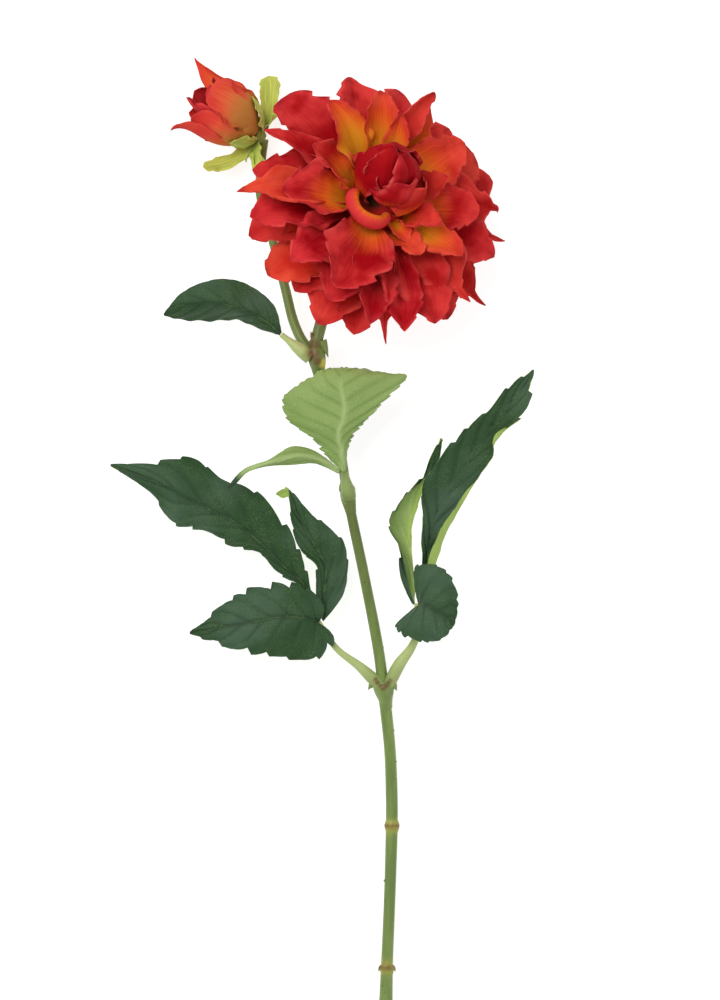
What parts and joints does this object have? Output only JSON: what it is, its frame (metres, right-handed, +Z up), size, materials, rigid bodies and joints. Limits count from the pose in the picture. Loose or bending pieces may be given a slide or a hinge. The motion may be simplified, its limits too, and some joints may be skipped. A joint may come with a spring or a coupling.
{
  "type": "dahlia flower",
  "caption": "Cut dahlia with a full double bloom, a half-open bud and toothed, divided leaves on a slender jointed stem.",
  "frame": {"origin": "on the surface that the flower lies on, under the middle of its outline", "axes": "+Y along the stem from its cut end to the bloom, +Z up from the surface, +X to the right of the bloom"},
  "size_m": [0.2135, 0.4775, 0.0928],
  "materials": {
    "bloom_petal": "matte",
    "bud_petal": "matte",
    "sepal": "matte",
    "stem": "matte",
    "leaf": "matte"
  },
  "bodies": {
    "root": {"bloom_petals": "bloom_petal", "bloom_calyx": "sepal", "bud_petals": "bud_petal", "bud_calyx": "sepal", "stem": "stem", "top_petiole": "stem", "front_petiole": "stem", "left_petiole": "stem", "right_petiole": "stem", "top_leaf": "leaf", "front_leaf": "leaf", "front_side_leaflet": "leaf", "left_leaflet_long": "leaf", "left_leaflet_middle": "leaf", "left_leaflet_low": "leaf", "right_leaflet_long": "leaf", "right_leaflet_inner": "leaf", "right_leaflet_low": "leaf"}
  },
  "joints": []
}
